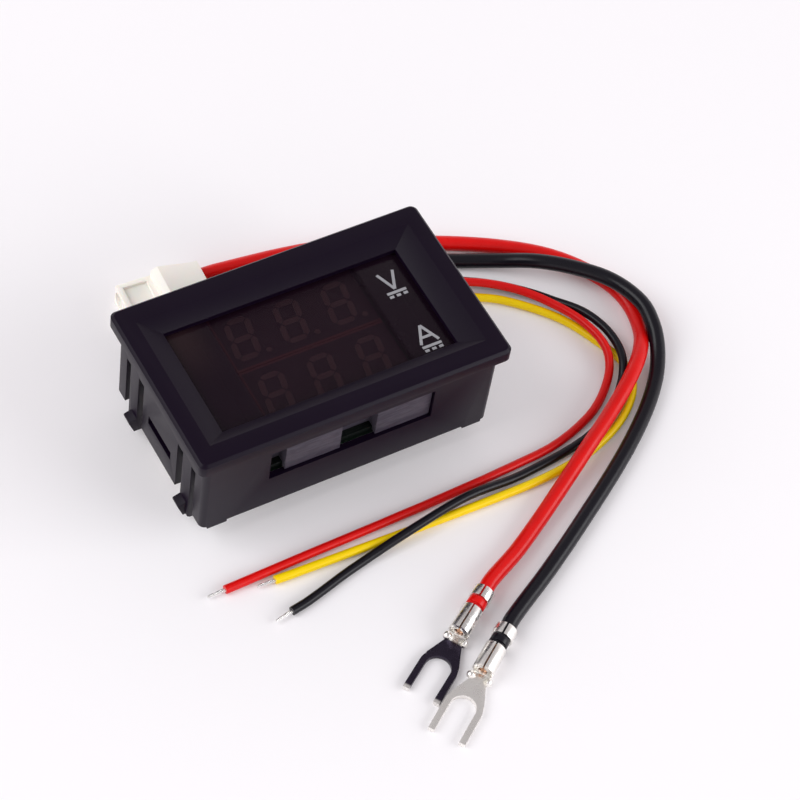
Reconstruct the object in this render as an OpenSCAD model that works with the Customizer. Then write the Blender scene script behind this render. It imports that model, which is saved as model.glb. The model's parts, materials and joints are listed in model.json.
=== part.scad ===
// Digital panel meter: snap-in case, two rows of digits, control board,
// and its two loose leads. Millimetres, +Z up, the face looks up.

/* [Case] */
// Width of the front bezel
bezel_w = 48; // [46:0.5:60]
// Height of the front bezel
bezel_h = 28.5; // [28:0.5:40]
// Thickness of the flange that sits on the panel
flange_t = 2.2; // [1.4:0.1:2.8]
// Depth of the case from its face to its rear edge
case_depth = 16.6; // [15:0.2:18]
// Overhang of the flange at each end
overhang_x = 1.3; // [1:0.1:2]
// Overhang of the flange above and below
overhang_y = 1; // [0.8:0.1:2]
// Wall thickness of the case
wall = 1; // [0.8:0.1:1.2]
// Corner radius of the bezel and the body
corner_r = 1; // [0.6:0.1:2]
// Small chamfer round the front of the bezel
bezel_edge = 0.4; // [0.2:0.1:0.6]
// Height of the feet at the ends of the long walls
foot_h = 0.5; // [0.2:0.1:1]
// Length of each foot
foot_l = 3; // [2:0.5:6]

/* [Window] */
// Flat rim at each end of the face
rim_x = 2.7; // [2:0.1:3.5]
// Flat rim above and below the window
rim_y = 3; // [2:0.1:3.5]
// Width of the sloping bevel at each end
bevel_x = 3.1; // [2:0.1:3.5]
// Width of the sloping bevel above and below
bevel_y = 2.3; // [1.5:0.1:2.6]
// Depth of the sloping bevel
bevel_drop = 1.6; // [1:0.1:2]
// Straight lip between the bevel and the lens
lip = 0.8; // [0.4:0.1:1.2]
// Thickness of the tinted lens
lens_t = 1; // [0.8:0.1:1.5]
// How far the lens reaches under the lip
lens_margin = 1.5; // [1:0.1:2]
// Clearance round the lens in its pocket
lens_fit = 0.15; // [0.1:0.05:0.2]
// Height of the printed unit letters
unit_h = 3.1; // [2.5:0.1:3.6]
// Stroke width of the printed letters
unit_stroke = 0.42; // [0.25:0.01:0.45]
// Distance of the letters from the right edge of the window
unit_side = 3.1; // [2.6:0.1:3.6]
// Distance of the upper letter from the top of the window
unit_top = 2.55; // [1.5:0.05:3]
// Distance of the lower letter from the bottom of the window
unit_bottom = 2.05; // [1.7:0.05:2.6]

/* [Long wall openings] */
// Length of the opening in each long wall
opening_l = 25.4; // [24.6:0.2:28]
// Height of the opening in each long wall
opening_h = 5.9; // [5:0.1:6.5]
// Distance of the opening below the flange
opening_drop = 2.4; // [2:0.1:3]

/* [Snap fingers] */
// Inner edge of each inner slot from the middle of the end wall
tongue_half = 5.2; // [4.8:0.1:5.4]
// Width of the inner slots
slot_in = 1.6; // [1.2:0.1:1.8]
// Width of each snap finger
finger_w = 2.5; // [2:0.1:2.6]
// Width of the outer slots
slot_out = 1.2; // [0.8:0.1:1.4]
// Distance of the slots below the flange
slot_drop = 4.4; // [3.5:0.1:6]
// How far the fingers reach past the rear edge
finger_reach = 2.6; // [1.5:0.1:3]
// Width of the barb on each finger
barb_w = 1.8; // [1.2:0.1:2]
// How far the barb stands out
barb_out = 1.1; // [0.6:0.1:1.2]
// Length of the catch that holds the board
lug_l = 6.4; // [4:0.1:8]
// How far that catch reaches in
lug_reach = 0.9; // [0.6:0.1:1.2]
// Height of that catch
lug_h = 3.4; // [3:0.1:4]

/* [Display] */
// Gap between each end of a display and the end wall
display_side = 10.4; // [10:0.1:11]
// Gap between the carrier and each long wall
carrier_side = 1.35; // [1:0.05:1.6]
// Thickness of a three digit display
module_t = 6; // [5:0.1:7]
// Gap between the two displays
module_gap = 0.1; // [0.1:0.05:0.3]
// Gap between the displays and the lens
lens_gap = 0.2; // [0.1:0.05:0.4]
// Wall and face thickness of a display shell
shell_t = 0.7; // [0.5:0.1:1]
// Distance of the digits from the long edges of a display
digit_margin = 1.5; // [1.3:0.05:2]
// Distance between neighbouring digits
digit_space = 3.6; // [3.4:0.1:4.2]
// Slant of the digits in degrees
digit_slant = 9; // [0:1:12]
// Width of a segment
segment_w = 0.85; // [0.6:0.05:1]
// Clearance round each light segment
segment_fit = 0.05; // [0.03:0.01:0.08]
// Distance of the outer pins from the ends of a display
pin_inset = 6.22; // [6:0.02:7]

/* [Display carrier] */
// Clearance between the displays and the carrier
carrier_fit = 0.15; // [0.1:0.05:0.25]
// Thickness of the long bars
bar_t = 0.6; // [0.5:0.1:0.8]
// Thickness of the end bars
end_bar_t = 1.6; // [1:0.1:2]
// Distance from the inside of the carrier's ends to the end walls
carrier_end = 2.7; // [2.4:0.1:3.2]
// Length of each catch block
catch_l = 8.6; // [7:0.1:8.8]
// Distance between the two catch blocks
catch_gap = 5.5; // [4:0.1:6]
// Depth of the catch faces below the wall's surface
catch_recess = 0.45; // [0.3:0.05:0.8]
// Clearance above and below the catches
catch_fit = 0.15; // [0.1:0.05:0.3]

/* [Board] */
// Thickness of the circuit board
board_t = 1.6; // [1:0.1:2]
// Clearance between the board and the case ends
board_fit = 0.2; // [0.1:0.05:0.3]
// Clearance between the board and the catches
board_side_fit = 0.4; // [0.3:0.05:0.6]
// Height of both connectors over the board
header_h = 9.8; // [9:0.1:11]
// Distance of the connectors from the ends of the board
header_edge = 5.9; // [5.7:0.1:6]
// Depth of the current connector
current_depth = 8.4; // [8:0.1:8.6]
// Depth of the supply connector
supply_depth = 6.4; // [5.8:0.1:6.6]
// Wall thickness of the connectors
header_wall = 0.9; // [0.7:0.1:1.1]
// Floor thickness of the connectors
header_floor = 3; // [2:0.1:4]
// Pin pitch of the current connector
current_pitch = 3.96; // [3.5:0.01:4.2]
// Pin width of the current connector
current_pin = 1.1; // [0.8:0.05:1.2]
// Pin pitch of the supply connector
supply_pitch = 2.54; // [2.4:0.01:2.6]
// Pin width of the supply connector
supply_pin = 0.64; // [0.5:0.02:0.8]
// Clearance of the pins in the board
pin_fit = 0.2; // [0.15:0.05:0.3]
// Diameter of the shunt wire
shunt_d = 1.5; // [1:0.1:2]
// Radius of the shunt loop
shunt_r = 3; // [2.5:0.1:3.4]
// Width of a trimmer
trimmer_w = 3.8; // [3.4:0.1:4.4]
// Height of a trimmer
trimmer_h = 1.8; // [1.5:0.1:2.4]
// Diameter of a trimmer rotor
rotor_d = 2.5; // [2:0.1:2.6]
// Clearance of a rotor in its seat
rotor_fit = 0.05; // [0.03:0.01:0.08]

/* [Leads] */
// Diameter of the two thick wires
thick_d = 2.3; // [2:0.1:2.3]
// Diameter of the three thin wires
thin_d = 1.3; // [1:0.1:1.3]
// Length of the current plug
plug_l = 12.7; // [11:0.1:14]
// Height of the front of the current plug
plug_h = 4; // [3.8:0.1:4.6]
// Rise of the latch on the current plug
latch_rise = 2; // [1.5:0.1:2.5]
// Length of the supply plug
supply_plug_l = 10; // [9:0.1:11]
// Height of the supply plug
supply_plug_h = 4.6; // [4:0.1:5.5]
// Wall round the wires in the plugs
plug_wall = 1.4; // [1.2:0.1:1.6]
// Clear width of a fork terminal
fork_gap = 3.7; // [3.2:0.1:3.7]
// Width of a prong
prong_w = 0.9; // [0.7:0.05:0.95]
// Length of the prongs
prong_l = 5; // [4:0.1:5.4]
// Thickness of the fork's sheet metal
sheet_t = 0.8; // [0.6:0.05:0.9]
// Length of the conductor barrel
barrel_l = 4.2; // [3.5:0.1:5]
// Length of the insulation band
band_l = 1.8; // [1.2:0.1:2.4]
// Diameter of the stripped conductors
conductor_d = 0.7; // [0.6:0.05:0.9]
// Length of the stripped ends
stripped_l = 2.7; // [2:0.1:4]

/* [Hidden] */
$fn = 32;
eps = 0.01;

// Heights, from the connectors' ends up to the face
z_board = header_h;
z_deck = z_board + board_t;
z_display = z_deck + module_t;
z_lens = z_display + lens_gap;
z_ledge = z_lens + lens_t;
z_bevel = z_ledge + lip;
z_face = z_bevel + bevel_drop;
z_flange = z_face - flange_t;
z_rear = z_face - case_depth;
z_slot = z_flange - slot_drop;
z_open_top = z_flange - opening_drop;
z_open_bottom = z_open_top - opening_h;
z_tip = z_rear - finger_reach;

// Plan sizes
body_w = bezel_w - 2 * overhang_x;
body_h = bezel_h - 2 * overhang_y;
in_x = body_w / 2 - wall;
in_y = body_h / 2 - wall;
window_w = bezel_w - 2 * (rim_x + bevel_x);
window_h = bezel_h - 2 * (rim_y + bevel_y);
lens_w = window_w + 2 * lens_margin;
lens_h = window_h + 2 * lens_margin;
unit_x = window_w / 2 - unit_side;
carrier_y = in_y - carrier_side - bar_t;
module_w = 2 * (in_x - display_side);
module_h = carrier_y - carrier_fit - module_gap / 2;
module_y = (module_h + module_gap) / 2;
pin_y = module_y - 1.24;
pin_pitch = (module_w / 2 - pin_inset) / 2;
digit_pitch = module_w / 3;
digit_w = digit_pitch - digit_space;
digit_h = module_h - 2 * digit_margin;
carrier_in = 2 * (in_x - carrier_end);
catch_y = body_h / 2 - catch_recess;
catch_shift = opening_l / 2 - 0.1 - catch_l - catch_gap / 2;
board_x = in_x - board_fit;
board_y = in_y - board_side_fit;
header_x = board_x - header_edge;
catch_lip_y = board_y + 0.05;
finger_y = tongue_half + slot_in;
post_y = finger_y + finger_w + slot_out;

// Wires in the plugs and forks
thick_r = thick_d / 2;
thin_r = thin_d / 2;
fork_w = fork_gap + 2 * prong_w;
band_r = thick_r + 0.05 + 0.4;

// Places of the parts on the rear of the board
inner_x = header_x - 6.4;
TRIMMER_Y = board_y - 3.4;
CONTROLLER = [-2.2, module_y];
AMPLIFIER = [inner_x, 0];
REGULATOR = [-inner_x + 0.8, 0];
SHUNT_Y = -module_y - 0.3;
CHIP_RESISTORS = [[-inner_x, board_y - 3], [-inner_x, board_y - 4.8],
    [2.5, board_y - 1.2], [-inner_x, 4.8 - board_y], [-inner_x, 3 - board_y]];
CHIP_CAPACITORS = [[-2.5, board_y - 1.2], [inner_x, 4.4], [inner_x, -4.4]];
chip_w = 2 * (pin_y - 1.91);
controller_l = 2 * (inner_x - 4.25);

// Places of the loose pieces: [x, y, turn]
PLUG = [-2.5, 25.7, -3];
SUPPLY_PLUG = [10, 17.7, -3];
RED_FORK = [9.05, -37.1, 213];
BLACK_FORK = [8.86, -43.62, 214.5];
RED_TIP = [-22.8, -21.3, 181];
BLACK_TIP = [-16.1, -28.2, 190];
YELLOW_TIP = [-15.9, -22.8, 177];
// Routes of the five wires between their ends: hand-set points, in mm
RED_CURRENT_ROUTE = [[14, 26.3, 1.15], [23.5, 23.5, 1.15], [33, 19.6, 1.15],
    [41.5, 15.1, 1.15], [48, 10.2, 1.15], [52.4, 4.2, 1.15],
    [54.1, -1.2, 1.15], [53.3, -6.8, 1.2], [50.4, -11.3, 2.5],
    [46, -15.3, 3.1], [40.5, -19.1, 2.8], [34.5, -22.8, 2.8], [29, -26, 1.8],
    [22, -30.1, 1.15], [16.5, -33.2, 1.15]];
BLACK_CURRENT_ROUTE = [[14, 22.6, 1.15], [24, 19.7, 1.15], [34, 15.4, 1.15],
    [40.4, 12, 1.9], [44.6, 8.7, 3.4], [49.2, 4.9, 3.7], [52.8, 0.8, 3.7],
    [54.6, -4.4, 3.7], [54.2, -8.6, 3.3], [53.1, -12, 2.1],
    [50.6, -15.8, 1.2], [45.6, -20.6, 1.15], [38, -26.2, 1.15],
    [26, -33.7, 1.15], [18.8, -37.9, 1.15]];
RED_SUPPLY_ROUTE = [[26, 13.8, 2], [34.8, 9.9, 2], [39.6, 6.3, 2],
    [43.1, 1.9, 2], [45.6, -3.2, 2.1], [46.2, -8.8, 2], [44, -13, 0.9],
    [38, -17.4, 0.65], [28, -20, 0.65]];
BLACK_SUPPLY_ROUTE = [[26, 15.6, 0.65], [35.3, 10.9, 0.65],
    [40.2, 7.3, 0.65], [44.3, 3, 0.7], [46.6, -1.2, 1.9], [47.9, -5, 2.1],
    [48.1, -8.6, 2.1], [47.3, -11.6, 2.05], [45.4, -14.5, 1],
    [41.5, -17.8, 0.65], [35.4, -20.6, 0.65], [24, -22.1, 0.7],
    [14.5, -22.7, 2.05], [6, -24, 2.05], [-4, -25.4, 0.65]];
YELLOW_SENSE_ROUTE = [[26, 11.7, 0.65], [35.5, 7.5, 0.65], [40.1, 3.7, 0.65],
    [43.9, -0.9, 0.65], [46.4, -6.2, 0.65], [47.9, -11, 0.65],
    [47.2, -15, 0.65], [43.8, -18.7, 0.65], [39, -21.4, 0.65],
    [32.5, -23.3, 0.65], [22.5, -24, 0.65]];

// ---- helpers ----------------------------------------------------------

// Rectangle with exact round corners, centred
module plate(w, h, r) {
    square([w - 2 * r, h], center = true);
    square([w, h - 2 * r], center = true);
    for (x = [-1, 1], y = [-1, 1])
        translate([x * (w / 2 - r), y * (h / 2 - r)]) circle(r);
}

// Box from one corner to the other
module block(a, b) {
    translate(a) cube(b - a);
}

// Moves a loose piece to its place: [x, y, turn]
module at(p) {
    translate([p[0], p[1], 0]) rotate(p[2]) children();
}

// Profile in the XZ plane, extruded along Y from y0 to y1
module rib(points, y0, y1) {
    translate([0, y1, 0]) rotate([90, 0, 0])
        linear_extrude(y1 - y0) polygon(points);
}

// Four-sided funnel between two centred rectangles
module funnel(w0, h0, z0, w1, h1, z1) {
    polyhedron(
        [for (s = [[w0, h0, z0], [w1, h1, z1]])
            for (c = [[-1, -1], [1, -1], [1, 1], [-1, 1]])
                [c[0] * s[0] / 2, c[1] * s[1] / 2, s[2]]],
        [[0, 1, 2, 3], [7, 6, 5, 4], [4, 5, 1, 0], [5, 6, 2, 1],
            [6, 7, 3, 2], [7, 4, 0, 3]]);
}

// ---- case -------------------------------------------------------------

// One snap finger, pointing along +X, centred on y = 0
module finger_end() {
    x = body_w / 2;
    y = finger_w / 2;
    rib([[x - wall, z_rear + 1], [x, z_rear + 1],
        [x, z_tip + 0.4], [x - 0.4, z_tip], [x - wall, z_tip]], -y, y);
    rib([[x - wall / 2, z_rear + 0.5], [x, z_rear + 0.3],
        [x + barb_out, z_rear - 0.1], [x + barb_out, z_rear - 0.5],
        [x + 0.3, z_tip], [x - wall / 2, z_tip]],
        -y, barb_w - y);
}

// Catch inside an end wall that holds the rear of the board
module board_catch() {
    x = in_x + eps;
    rib([[x, z_board - lug_h], [x - lug_reach, z_board - 0.8],
        [x - lug_reach, z_board], [x - 0.25, z_board],
        [x, z_board - lug_h / 2]], -lug_l / 2, lug_l / 2);
}

module bezel_block() {
    hull() {
        translate([0, 0, z_flange])
            linear_extrude(flange_t - bezel_edge)
                plate(bezel_w, bezel_h, corner_r);
        translate([0, 0, z_face - eps])
            linear_extrude(eps)
                plate(bezel_w - 2 * bezel_edge, bezel_h - 2 * bezel_edge,
                    corner_r - bezel_edge / 2);
    }
}

module housing() {
    grow = 1 + 1 / bevel_drop;
    color("#26222a")
    difference() {
        union() {
            bezel_block();
            translate([0, 0, z_rear]) linear_extrude(z_flange - z_rear)
                plate(body_w, body_h, corner_r);
            // feet at the ends of the long walls
            for (x = [-1, 1], y = [-1, 1]) {
                x0 = x * (body_w / 2 - corner_r);
                x1 = x0 - x * foot_l;
                y0 = y * body_h / 2;
                y1 = y0 - y * wall;
                block([min(x0, x1), min(y0, y1), z_rear - foot_h],
                    [max(x0, x1), max(y0, y1), z_rear + 1]);
            }
        }
        // hollow behind the lens
        block([-in_x, -in_y, z_rear - 5], [in_x, in_y, z_lens]);
        // window: bevel, lip and lens pocket
        funnel(window_w, window_h, z_bevel,
            window_w + 2 * bevel_x * grow, window_h + 2 * bevel_y * grow,
            z_face + 1);
        block([-window_w / 2, -window_h / 2, z_lens - 1],
            [window_w / 2, window_h / 2, z_bevel + eps]);
        block([-lens_w / 2 - lens_fit, -lens_h / 2 - lens_fit, z_lens - 1],
            [lens_w / 2 + lens_fit, lens_h / 2 + lens_fit, z_ledge]);
        // openings in both long walls
        block([-opening_l / 2, -bezel_h, z_open_bottom],
            [opening_l / 2, bezel_h, z_open_top]);
        // slots that free the fingers, and the window over each catch
        for (y = [-1, 1]) {
            translate([0, y * (tongue_half + slot_in / 2), 0])
                block([-bezel_w, -slot_in / 2, z_rear - 5],
                    [bezel_w, slot_in / 2, z_slot]);
            translate([0, y * (post_y - slot_out / 2), 0])
                block([-bezel_w, -slot_out / 2, z_rear - 5],
                    [bezel_w, slot_out / 2, z_slot]);
        }
        block([-bezel_w, -lug_l / 2 - 0.2, z_board - lug_h / 2],
            [bezel_w, lug_l / 2 + 0.2, z_board]);
    }
    color("#26222a") for (x = [0, 1]) mirror([x, 0, 0]) {
        board_catch();
        for (y = [0, 1]) mirror([0, y, 0])
            translate([0, finger_y + finger_w / 2, 0]) finger_end();
    }
}

module window_lens() {
    color("#4a1014")
    translate([0, 0, z_lens]) linear_extrude(lens_t)
        plate(lens_w, lens_h, corner_r);
}

// Stroke between two points
module stroke(a, b) {
    d = b - a;
    n = unit_stroke / 2 * [-d[1], d[0]] / norm(d);
    polygon([a - n, b - n, b + n, a + n]);
}

// Direct-current sign: a line over three dashes
module dc_sign() {
    translate([-1.5, -0.75]) square([3, unit_stroke]);
    for (x = [-1.1, 0, 1.1])
        translate([x - 0.32, -1.4]) square([0.64, unit_stroke]);
}

module unit_marks() {
    h = unit_h;
    color("white")
    translate([0, 0, z_ledge]) linear_extrude(0.06) {
        translate([unit_x, window_h / 2 - unit_top - h]) {
            stroke([-1.25, h], [0, 0]);
            stroke([1.25, h], [0, 0]);
            dc_sign();
        }
        translate([unit_x, unit_bottom - window_h / 2]) {
            stroke([-1.4, 0], [0, h]);
            stroke([1.4, 0], [0, h]);
            stroke([-0.9, h * 0.35], [0.9, h * 0.35]);
            dc_sign();
        }
    }
}

// ---- display ----------------------------------------------------------

function slanted(points) =
    [for (p = points) [p[0] + p[1] * tan(digit_slant), p[1]]];

// Six-cornered bar from a to b, w wide
function bar6(a, b, w) =
    let (u = (b - a) / norm(b - a), n = [-u[1], u[0]] * w / 2)
    [a, a + u * w / 2 + n, b - u * w / 2 + n, b,
        b - u * w / 2 - n, a + u * w / 2 - n];

// The seven segments and the point of one digit, grown by g
module digit(g) {
    w = digit_w / 2 - segment_w / 2;
    h = digit_h / 2 - segment_w / 2;
    c = segment_w * 0.14 - g;
    t = segment_w + 2 * g;
    for (y = [-h, 0, h])
        polygon(slanted(bar6([-w + c, y], [w - c, y], t)));
    for (x = [-w, w], y = [-h, 0])
        polygon(slanted(bar6([x, y + c], [x, y + h - c], t)));
    translate([digit_w / 2 + 0.55, -h]) circle(segment_w / 2 + g);
}

module digits(g) {
    for (i = [-1, 0, 1]) translate([i * digit_pitch - 0.3, 0]) digit(g);
}

// Shell of a display, open at the back, at the height of the board
module display_shell(y) {
    color("#3a3038")
    translate([0, y, z_deck]) difference() {
        translate([0, 0, module_t / 2])
            cube([module_w, module_h, module_t], center = true);
        block([-module_w / 2 + shell_t, -module_h / 2 + shell_t, -1],
            [module_w / 2 - shell_t, module_h / 2 - shell_t,
                module_t - shell_t]);
        translate([0, 0, module_t / 2]) linear_extrude(module_t)
            digits(segment_fit);
    }
}

// Cast filling of a display with its light segments
module display_filling(y) {
    color("#8c6f6c")
    translate([0, y, z_deck]) {
        block([-module_w / 2 + shell_t, -module_h / 2 + shell_t, 0],
            [module_w / 2 - shell_t, module_h / 2 - shell_t,
                module_t - shell_t]);
        translate([0, 0, module_t - shell_t - eps])
            linear_extrude(shell_t - 0.04) digits(0);
    }
}

// Pin from the board's deck to its solder on the rear
module soldered_pin(d) {
    translate([0, 0, z_board - 0.9]) cylinder(d = d, h = board_t + 0.9);
    translate([0, 0, z_board - 0.6])
        cylinder(r1 = d / 2 + 0.05, r2 = d / 2 + 0.4, h = 0.6);
}

module display_pins(y) {
    color("silver") for (x = [-2:2], s = [-1, 1])
        translate([x * pin_pitch, y + s * pin_y, 0]) soldered_pin(0.5);
}

module upper_display() { display_shell(module_y); }
module lower_display() { display_shell(-module_y); }
module upper_segments() { display_filling(module_y); }
module lower_segments() { display_filling(-module_y); }
module upper_display_pins() { display_pins(module_y); }
module lower_display_pins() { display_pins(-module_y); }

// Frame round both displays, with catch blocks in the wall openings
module display_carrier() {
    bar_y = carrier_y + bar_t;
    color("#57525c") {
        translate([0, 0, z_deck]) linear_extrude(z_lens - z_deck)
            difference() {
                square([carrier_in + 2 * end_bar_t, 2 * bar_y],
                    center = true);
                square([carrier_in, 2 * carrier_y], center = true);
            }
        for (m = [0, 1], i = [-1, 1]) mirror([0, m, 0]) {
            x = catch_shift + i * (catch_gap + catch_l) / 2;
            block([x - catch_l / 2, bar_y - eps, z_deck],
                [x + catch_l / 2, catch_y, z_open_top - catch_fit]);
            block([x - catch_l / 2, catch_lip_y, z_open_bottom + catch_fit],
                [x + catch_l / 2, catch_y, z_deck + eps]);
        }
    }
}

// ---- board ------------------------------------------------------------

// Holes for one row of pins along Y
module pin_holes(x, pitch, count, d) {
    for (i = [0:count - 1])
        translate([x, (i - (count - 1) / 2) * pitch]) circle(d = d);
}

module circuit_board() {
    color("#1f6b3a")
    translate([0, 0, z_board]) linear_extrude(board_t) difference() {
        square([2 * board_x, 2 * board_y], center = true);
        for (y = [-module_y, module_y], s = [-1, 1], x = [-2:2])
            translate([x * pin_pitch, y + s * pin_y])
                circle(d = 0.5 + 2 * pin_fit);
        pin_holes(-header_x, current_pitch, 2,
            current_pin * 1.42 + 2 * pin_fit);
        pin_holes(header_x, supply_pitch, 3,
            supply_pin * 1.42 + 2 * pin_fit);
        for (x = [-1, 1]) translate([x * shunt_r, SHUNT_Y])
            circle(d = shunt_d + 2 * pin_fit);
    }
}

// Boxed header hanging from the board, its mouth down on z = 0
module header(x, pitch, count, depth) {
    l = (count - 1) * pitch + 5.2;
    color("#f1ead8")
    translate([x, 0, 0]) difference() {
        block([-depth / 2, -l / 2, 0], [depth / 2, l / 2, header_h]);
        block([-depth / 2 + header_wall, -l / 2 + header_wall, -1],
            [depth / 2 - header_wall, l / 2 - header_wall,
                header_h - header_floor]);
        // key slots in one long side
        for (y = [-l / 4, l / 4])
            block([-depth, y - 0.6, -1],
                [0, y + 0.6, header_h - header_floor - 0.5]);
        for (i = [0:count - 1])
            translate([0, (i - (count - 1) / 2) * pitch, 0])
                cube([pitch * 0.34, pitch * 0.34, 3 * header_h],
                    center = true);
    }
}

// Square posts through a header and the board
module header_pins(x, pitch, count, w) {
    color("silver") for (i = [0:count - 1])
        translate([x, (i - (count - 1) / 2) * pitch, 0]) {
            block([-w / 2, -w / 2, 1.5], [w / 2, w / 2, z_deck + 0.5]);
            translate([0, 0, z_deck])
                cylinder(r1 = w * 0.71 + 0.45, r2 = w * 0.5, h = 0.6);
        }
}

module current_header() {
    header(-header_x, current_pitch, 2, current_depth);
}
module supply_header() {
    header(header_x, supply_pitch, 3, supply_depth);
}
module current_header_pins() {
    header_pins(-header_x, current_pitch, 2, current_pin);
}
module supply_header_pins() {
    header_pins(header_x, supply_pitch, 3, supply_pin);
}

// Bent wire that carries the measured current
module shunt_wire() {
    r = shunt_d / 2;
    leg = 1;
    color("#b87333") translate([0, SHUNT_Y, z_board - leg]) {
        rotate([-90, 0, 0]) rotate_extrude(angle = 180)
            translate([shunt_r, 0]) circle(r);
        for (x = [-1, 1]) translate([x * shunt_r, 0, 0]) {
            cylinder(r = r, h = leg + board_t);
            translate([0, 0, leg - 0.8])
                cylinder(r1 = r + 0.05, r2 = r + 0.8, h = 0.8);
        }
    }
}

// Seat of a trimmer, open downward
module trimmer_base(y) {
    color("#2f5f9e") translate([inner_x, y, z_board - trimmer_h]) difference() {
        block([-trimmer_w / 2, -trimmer_w / 2, 0],
            [trimmer_w / 2, trimmer_w / 2, trimmer_h]);
        translate([0, 0, -1])
            cylinder(d = rotor_d + 2 * rotor_fit, h = trimmer_h / 2 + 1);
    }
}

// Rotor of a trimmer, with its screwdriver slot
module trimmer_rotor(y) {
    h = trimmer_h / 2 + 0.3 - rotor_fit;
    color("#d9d4c8") translate([inner_x, y, z_board - trimmer_h - 0.3])
        difference() {
            cylinder(d = rotor_d, h = h);
            block([-rotor_d * 0.36, -0.25, -1],
                [rotor_d * 0.36, 0.25, 0.5]);
        }
}

module volt_trimmer() { trimmer_base(TRIMMER_Y); }
module volt_rotor() { trimmer_rotor(TRIMMER_Y); }
module amp_trimmer() { trimmer_base(-TRIMMER_Y); }
module amp_rotor() { trimmer_rotor(-TRIMMER_Y); }

// Moulded body of a chip under the board, l long along X
module chip_body(p, l) {
    color("#202024") translate([p[0], p[1], z_board])
        block([-l / 2, -chip_w / 2, -1.6], [l / 2, chip_w / 2, -0.1]);
}

// Gull-wing leads on both long sides of a chip
module chip_leads(p, n) {
    w = chip_w / 2;
    color("silver") for (m = [0, 1], i = [0:n - 1])
        translate([p[0] + (i - (n - 1) / 2) * 1.27, p[1], z_board])
            mirror([0, m, 0]) rotate([0, 0, 90])
                rib([[w, -0.9], [w + 0.5, -0.9], [w + 0.6, -0.2],
                    [w + 1.05, -0.2], [w + 1.05, 0], [w + 0.4, 0],
                    [w + 0.3, -0.7], [w, -0.7]], -0.2, 0.2);
}

module controller_chip() { chip_body(CONTROLLER, controller_l); }
module controller_leads() {
    chip_leads(CONTROLLER, round(controller_l / 1.27));
}
module amplifier_chip() { chip_body(AMPLIFIER, 4.9); }
module amplifier_leads() { chip_leads(AMPLIFIER, 4); }

module regulator() {
    color("#202024") translate([REGULATOR[0], REGULATOR[1], z_board])
        block([-2.3, -1.25, -1.7], [2.3, 1.25, -0.2]);
}

module regulator_tabs() {
    color("silver") translate([REGULATOR[0], REGULATOR[1], z_board]) {
        block([-2, -2, -0.2], [2, 1, 0]);
        for (x = [-1.5, 0, 1.5])
            block([x - 0.2, 1 - eps, -0.2], [x + 0.2, 2, 0]);
    }
}

module chip_resistors() {
    color("#2a2a2e") for (p = CHIP_RESISTORS)
        block([p[0] - 0.8, p[1] - 0.4, z_board - 0.5],
            [p[0] + 0.8, p[1] + 0.4, z_board]);
}

module chip_capacitors() {
    color("#b7996a") for (p = CHIP_CAPACITORS)
        block([p[0] - 1, p[1] - 0.6, z_board - 0.9],
            [p[0] + 1, p[1] + 0.6, z_board]);
}

// ---- leads ------------------------------------------------------------

// Width of a plug with its row of wires
function plug_w(pitch, count) = (count - 1) * pitch + 2 * plug_wall;

// Plug with a cell for each wire; the wires leave at x = 0, toward +X
module plug(l, h, pitch, count, bore) {
    w = plug_w(pitch, count);
    difference() {
        block([-l, -w / 2, 0], [0, w / 2, h]);
        for (i = [0:count - 1]) translate([0, (i - (count - 1) / 2)
            * pitch, h / 2]) {
            translate([-l - 1, 0, 0]) rotate([0, 90, 0])
                cylinder(d = bore + 0.2, h = l - 0.4);
        }
        children();
    }
}

// Latch arm over the rear half of the current plug
module plug_latch() {
    w = plug_w(current_pitch, 2);
    l = plug_l;
    h = plug_h;
    rib([[-l * 0.58, h - eps], [-l * 0.58, h + latch_rise * 0.7],
        [-l * 0.5, h + latch_rise], [-0.8, h + latch_rise * 0.25],
        [0, h + latch_rise * 0.25], [0, h - eps]],
        -w / 2 + 0.6, w / 2 - 0.3);
}

module current_plug() {
    w = plug_w(current_pitch, 2);
    color("#f3eee0") at(PLUG) {
        plug(plug_l, plug_h, current_pitch, 2, thick_d)
            // shallow window in the top of the front half
            block([-plug_l + 0.9, -w / 2 + 0.8, plug_h - 0.5],
                [-plug_l * 0.64, w / 2 - 0.8, plug_h + 1]);
        plug_latch();
    }
}

module supply_plug() {
    color("#f3eee0") at(SUPPLY_PLUG)
        plug(supply_plug_l, supply_plug_h, supply_pitch, 3, thin_d)
            block([-supply_plug_l + 1.5, -3.2, supply_plug_h - 0.4],
                [-supply_plug_l * 0.45, 3.2, supply_plug_h + 1]);
}

// Crimped sockets inside a plug
module contacts(place, l, h, pitch, count, d) {
    color("silver") at(place) for (i = [0:count - 1])
        translate([-l + 0.6, (i - (count - 1) / 2) * pitch, h / 2])
            rotate([0, 90, 0]) difference() {
                cylinder(d = d, h = l - 2);
                translate([0, 0, -1]) cylinder(d = d - 0.7, h = l * 0.5);
            }
}

module current_contacts() {
    contacts(PLUG, plug_l, plug_h, current_pitch, 2, thick_d);
}
module supply_contacts() {
    contacts(SUPPLY_PLUG, supply_plug_l, supply_plug_h, supply_pitch, 3,
        thin_d);
}

// Point in front of a loose piece: s along its turn, t across, z up
function reach(p, s, t, z) =
    [p[0] + s * cos(p[2]) - t * sin(p[2]),
        p[1] + s * sin(p[2]) + t * cos(p[2]), z];

function unit(v) = v / norm(v);

// Direction of the route at ring i
function heading(p, i) =
    i == 0 ? unit(p[1] - p[0]) :
    i == len(p) - 1 ? unit(p[i] - p[i - 1]) :
    unit(unit(p[i + 1] - p[i]) + unit(p[i] - p[i - 1]));

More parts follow.
